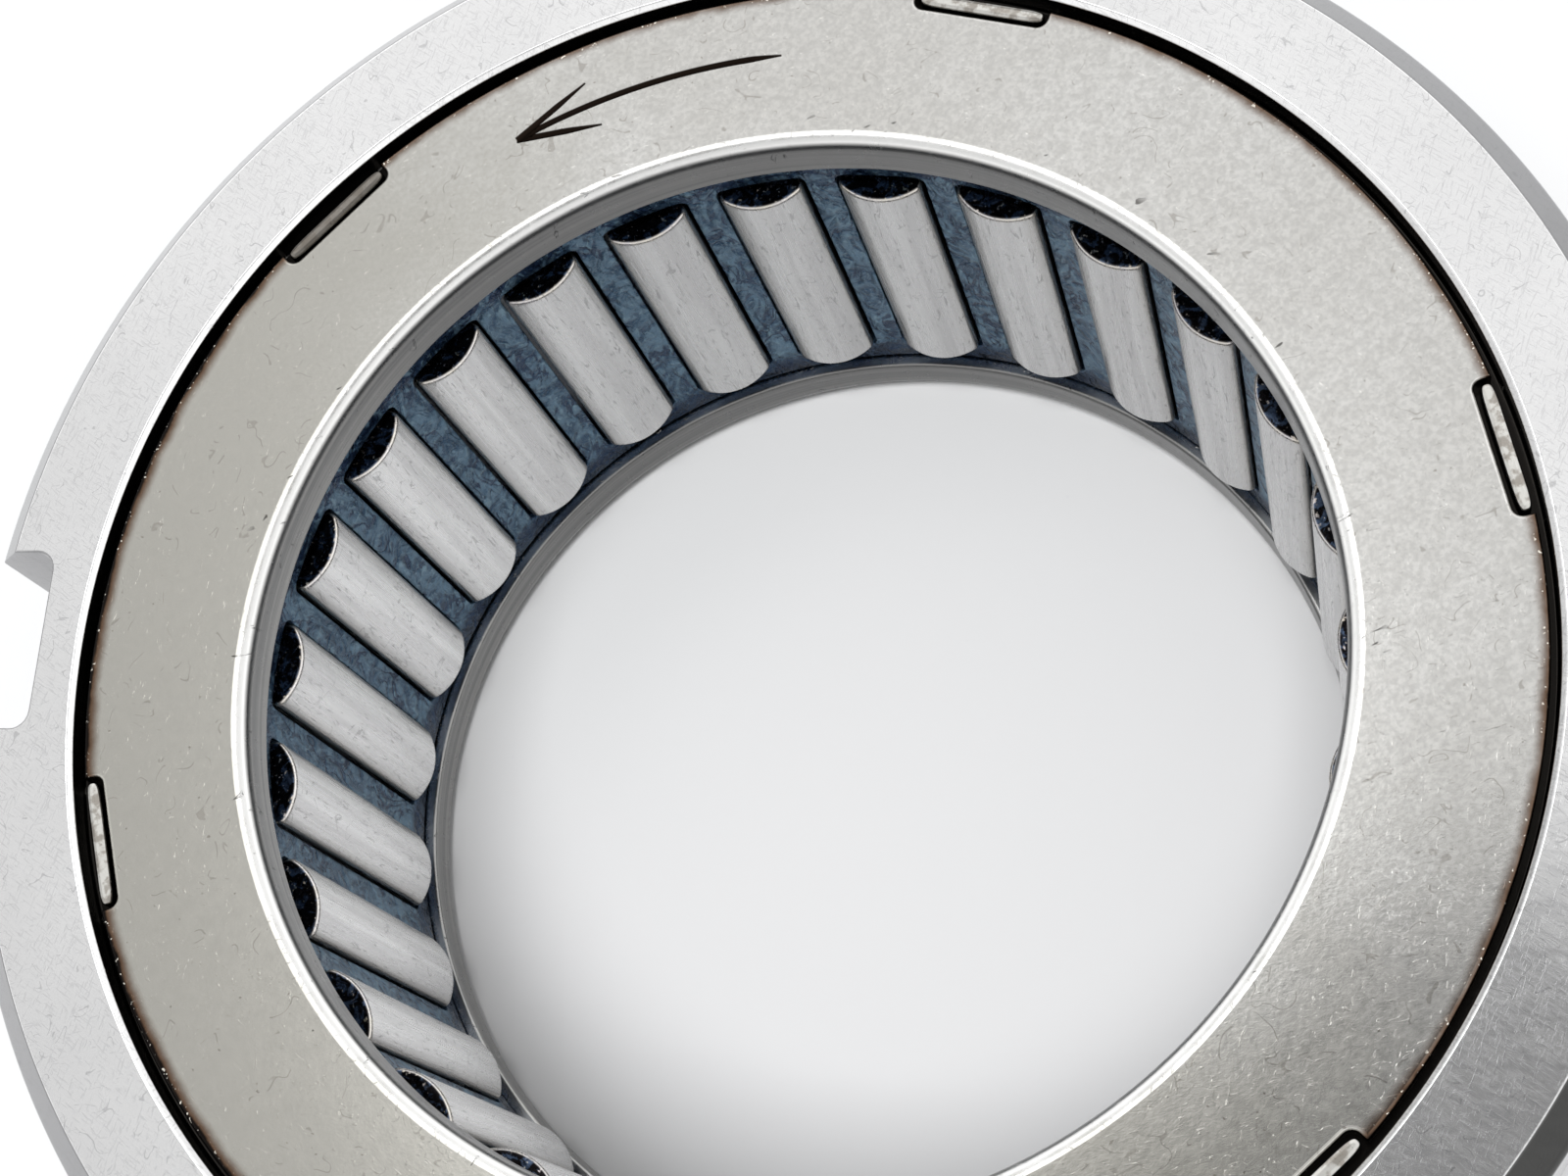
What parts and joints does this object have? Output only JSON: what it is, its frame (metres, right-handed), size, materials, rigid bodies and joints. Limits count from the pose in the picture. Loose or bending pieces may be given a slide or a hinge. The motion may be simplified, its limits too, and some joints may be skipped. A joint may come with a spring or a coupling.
{
  "type": "one-way cam clutch",
  "caption": "Caged one-way cam clutch of ball-bearing size: slotted outer race, staked side plates and a windowed cage of tilting cams round an open shaft bore.",
  "frame": {"origin": "on the axis, half way between the two end faces", "axes": "+Z along the axis towards the marked side plate; the four keyways are at 45 degrees to X and Y"},
  "size_m": [0.09, 0.09, 0.032],
  "materials": {
    "ground_steel": "ground, fine crossing scratches",
    "plate_steel": "matt pressed sheet, lightly oiled",
    "blued_steel": "blued, smeared with grease",
    "cam_steel": "polished along its length, oiled",
    "spring_steel": "rolled strip, oiled"
  },
  "bodies": {
    "race": {"outer_race": "ground_steel", "front_side_plate": "plate_steel", "back_side_plate": "plate_steel"},
    "cage": {"inner_cage": "blued_steel", "outer_cage": "blued_steel", "ribbon_spring": "spring_steel"},
    "cam_01": {"cam_01": "cam_steel"},
    "cam_02": {"cam_02": "cam_steel"},
    "cam_03": {"cam_03": "cam_steel"},
    "cam_04": {"cam_04": "cam_steel"},
    "cam_05": {"cam_05": "cam_steel"},
    "cam_06": {"cam_06": "cam_steel"},
    "cam_07": {"cam_07": "cam_steel"},
    "cam_08": {"cam_08": "cam_steel"},
    "cam_09": {"cam_09": "cam_steel"},
    "cam_10": {"cam_10": "cam_steel"},
    "cam_11": {"cam_11": "cam_steel"},
    "cam_12": {"cam_12": "cam_steel"},
    "cam_13": {"cam_13": "cam_steel"},
    "cam_14": {"cam_14": "cam_steel"},
    "cam_15": {"cam_15": "cam_steel"},
    "cam_16": {"cam_16": "cam_steel"},
    "cam_17": {"cam_17": "cam_steel"},
    "cam_18": {"cam_18": "cam_steel"},
    "cam_19": {"cam_19": "cam_steel"},
    "cam_20": {"cam_20": "cam_steel"},
    "cam_21": {"cam_21": "cam_steel"},
    "cam_22": {"cam_22": "cam_steel"},
    "cam_23": {"cam_23": "cam_steel"},
    "cam_24": {"cam_24": "cam_steel"},
    "cam_25": {"cam_25": "cam_steel"},
    "cam_26": {"cam_26": "cam_steel"},
    "cam_27": {"cam_27": "cam_steel"}
  },
  "joints": [
    {"name": "cage_spin", "type": "hinge", "parent": "race", "child": "cage", "pos_m": [0, 0, 0], "axis": [0, 0, 1], "continuous": true},
    {"name": "cam_01_tilt", "type": "hinge", "parent": "cage", "child": "cam_01", "pos_m": [0.032, -0.00028, 0], "axis": [0, 0, 1], "range_deg": [-3, 3], "stiffness_Nm_per_rad": 0.002},
    {"name": "cam_02_tilt", "type": "hinge", "parent": "cage", "child": "cam_02", "pos_m": [0.0312, 0.00711, 0], "axis": [0, 0, 1], "range_deg": [-3, 3], "stiffness_Nm_per_rad": 0.002},
    {"name": "cam_03_tilt", "type": "hinge", "parent": "cage", "child": "cam_03", "pos_m": [0.02872, 0.01411, 0], "axis": [0, 0, 1], "range_deg": [-3, 3], "stiffness_Nm_per_rad": 0.002},
    {"name": "cam_04_tilt", "type": "hinge", "parent": "cage", "child": "cam_04", "pos_m": [0.02469, 0.02035, 0], "axis": [0, 0, 1], "range_deg": [-3, 3], "stiffness_Nm_per_rad": 0.002},
    {"name": "cam_05_tilt", "type": "hinge", "parent": "cage", "child": "cam_05", "pos_m": [0.01933, 0.0255, 0], "axis": [0, 0, 1], "range_deg": [-3, 3], "stiffness_Nm_per_rad": 0.002},
    {"name": "cam_06_tilt", "type": "hinge", "parent": "cage", "child": "cam_06", "pos_m": [0.01293, 0.02927, 0], "axis": [0, 0, 1], "range_deg": [-3, 3], "stiffness_Nm_per_rad": 0.002},
    {"name": "cam_07_tilt", "type": "hinge", "parent": "cage", "child": "cam_07", "pos_m": [0.00583, 0.03146, 0], "axis": [0, 0, 1], "range_deg": [-3, 3], "stiffness_Nm_per_rad": 0.002},
    {"name": "cam_08_tilt", "type": "hinge", "parent": "cage", "child": "cam_08", "pos_m": [-0.00158, 0.03196, 0], "axis": [0, 0, 1], "range_deg": [-3, 3], "stiffness_Nm_per_rad": 0.002},
    {"name": "cam_09_tilt", "type": "hinge", "parent": "cage", "child": "cam_09", "pos_m": [-0.00891, 0.03073, 0], "axis": [0, 0, 1], "range_deg": [-3, 3], "stiffness_Nm_per_rad": 0.002},
    {"name": "cam_10_tilt", "type": "hinge", "parent": "cage", "child": "cam_10", "pos_m": [-0.01576, 0.02785, 0], "axis": [0, 0, 1], "range_deg": [-3, 3], "stiffness_Nm_per_rad": 0.002},
    {"name": "cam_11_tilt", "type": "hinge", "parent": "cage", "child": "cam_11", "pos_m": [-0.02176, 0.02347, 0], "axis": [0, 0, 1], "range_deg": [-3, 3], "stiffness_Nm_per_rad": 0.002},
    {"name": "cam_12_tilt", "type": "hinge", "parent": "cage", "child": "cam_12", "pos_m": [-0.02658, 0.01782, 0], "axis": [0, 0, 1], "range_deg": [-3, 3], "stiffness_Nm_per_rad": 0.002},
    {"name": "cam_13_tilt", "type": "hinge", "parent": "cage", "child": "cam_13", "pos_m": [-0.02997, 0.01121, 0], "axis": [0, 0, 1], "range_deg": [-3, 3], "stiffness_Nm_per_rad": 0.002},
    {"name": "cam_14_tilt", "type": "hinge", "parent": "cage", "child": "cam_14", "pos_m": [-0.03175, 0.00399, 0], "axis": [0, 0, 1], "range_deg": [-3, 3], "stiffness_Nm_per_rad": 0.002},
    {"name": "cam_15_tilt", "type": "hinge", "parent": "cage", "child": "cam_15", "pos_m": [-0.03181, -0.00344, 0], "axis": [0, 0, 1], "range_deg": [-3, 3], "stiffness_Nm_per_rad": 0.002},
    {"name": "cam_16_tilt", "type": "hinge", "parent": "cage", "child": "cam_16", "pos_m": [-0.03016, -0.01068, 0], "axis": [0, 0, 1], "range_deg": [-3, 3], "stiffness_Nm_per_rad": 0.002},
    {"name": "cam_17_tilt", "type": "hinge", "parent": "cage", "child": "cam_17", "pos_m": [-0.02689, -0.01735, 0], "axis": [0, 0, 1], "range_deg": [-3, 3], "stiffness_Nm_per_rad": 0.002},
    {"name": "cam_18_tilt", "type": "hinge", "parent": "cage", "child": "cam_18", "pos_m": [-0.02216, -0.02308, 0], "axis": [0, 0, 1], "range_deg": [-3, 3], "stiffness_Nm_per_rad": 0.002},
    {"name": "cam_19_tilt", "type": "hinge", "parent": "cage", "child": "cam_19", "pos_m": [-0.01624, -0.02757, 0], "axis": [0, 0, 1], "range_deg": [-3, 3], "stiffness_Nm_per_rad": 0.002},
    {"name": "cam_20_tilt", "type": "hinge", "parent": "cage", "child": "cam_20", "pos_m": [-0.00944, -0.03057, 0], "axis": [0, 0, 1], "range_deg": [-3, 3], "stiffness_Nm_per_rad": 0.002},
    {"name": "cam_21_tilt", "type": "hinge", "parent": "cage", "child": "cam_21", "pos_m": [-0.00214, -0.03193, 0], "axis": [0, 0, 1], "range_deg": [-3, 3], "stiffness_Nm_per_rad": 0.002},
    {"name": "cam_22_tilt", "type": "hinge", "parent": "cage", "child": "cam_22", "pos_m": [0.00528, -0.03156, 0], "axis": [0, 0, 1], "range_deg": [-3, 3], "stiffness_Nm_per_rad": 0.002},
    {"name": "cam_23_tilt", "type": "hinge", "parent": "cage", "child": "cam_23", "pos_m": [0.01242, -0.02949, 0], "axis": [0, 0, 1], "range_deg": [-3, 3], "stiffness_Nm_per_rad": 0.002},
    {"name": "cam_24_tilt", "type": "hinge", "parent": "cage", "child": "cam_24", "pos_m": [0.01888, -0.02583, 0], "axis": [0, 0, 1], "range_deg": [-3, 3], "stiffness_Nm_per_rad": 0.002},
    {"name": "cam_25_tilt", "type": "hinge", "parent": "cage", "child": "cam_25", "pos_m": [0.02433, -0.02078, 0], "axis": [0, 0, 1], "range_deg": [-3, 3], "stiffness_Nm_per_rad": 0.002},
    {"name": "cam_26_tilt", "type": "hinge", "parent": "cage", "child": "cam_26", "pos_m": [0.02847, -0.01461, 0], "axis": [0, 0, 1], "range_deg": [-3, 3], "stiffness_Nm_per_rad": 0.002},
    {"name": "cam_27_tilt", "type": "hinge", "parent": "cage", "child": "cam_27", "pos_m": [0.03107, -0.00765, 0], "axis": [0, 0, 1], "range_deg": [-3, 3], "stiffness_Nm_per_rad": 0.002}
  ],
  "couplings": [
    {"joint": "cam_02_tilt", "follows": "cam_01_tilt", "ratio": 1},
    {"joint": "cam_03_tilt", "follows": "cam_01_tilt", "ratio": 1},
    {"joint": "cam_04_tilt", "follows": "cam_01_tilt", "ratio": 1},
    {"joint": "cam_05_tilt", "follows": "cam_01_tilt", "ratio": 1},
    {"joint": "cam_06_tilt", "follows": "cam_01_tilt", "ratio": 1},
    {"joint": "cam_07_tilt", "follows": "cam_01_tilt", "ratio": 1},
    {"joint": "cam_08_tilt", "follows": "cam_01_tilt", "ratio": 1},
    {"joint": "cam_09_tilt", "follows": "cam_01_tilt", "ratio": 1},
    {"joint": "cam_10_tilt", "follows": "cam_01_tilt", "ratio": 1},
    {"joint": "cam_11_tilt", "follows": "cam_01_tilt", "ratio": 1},
    {"joint": "cam_12_tilt", "follows": "cam_01_tilt", "ratio": 1},
    {"joint": "cam_13_tilt", "follows": "cam_01_tilt", "ratio": 1},
    {"joint": "cam_14_tilt", "follows": "cam_01_tilt", "ratio": 1},
    {"joint": "cam_15_tilt", "follows": "cam_01_tilt", "ratio": 1},
    {"joint": "cam_16_tilt", "follows": "cam_01_tilt", "ratio": 1},
    {"joint": "cam_17_tilt", "follows": "cam_01_tilt", "ratio": 1},
    {"joint": "cam_18_tilt", "follows": "cam_01_tilt", "ratio": 1},
    {"joint": "cam_19_tilt", "follows": "cam_01_tilt", "ratio": 1},
    {"joint": "cam_20_tilt", "follows": "cam_01_tilt", "ratio": 1},
    {"joint": "cam_21_tilt", "follows": "cam_01_tilt", "ratio": 1},
    {"joint": "cam_22_tilt", "follows": "cam_01_tilt", "ratio": 1},
    {"joint": "cam_23_tilt", "follows": "cam_01_tilt", "ratio": 1},
    {"joint": "cam_24_tilt", "follows": "cam_01_tilt", "ratio": 1},
    {"joint": "cam_25_tilt", "follows": "cam_01_tilt", "ratio": 1},
    {"joint": "cam_26_tilt", "follows": "cam_01_tilt", "ratio": 1},
    {"joint": "cam_27_tilt", "follows": "cam_01_tilt", "ratio": 1}
  ]
}
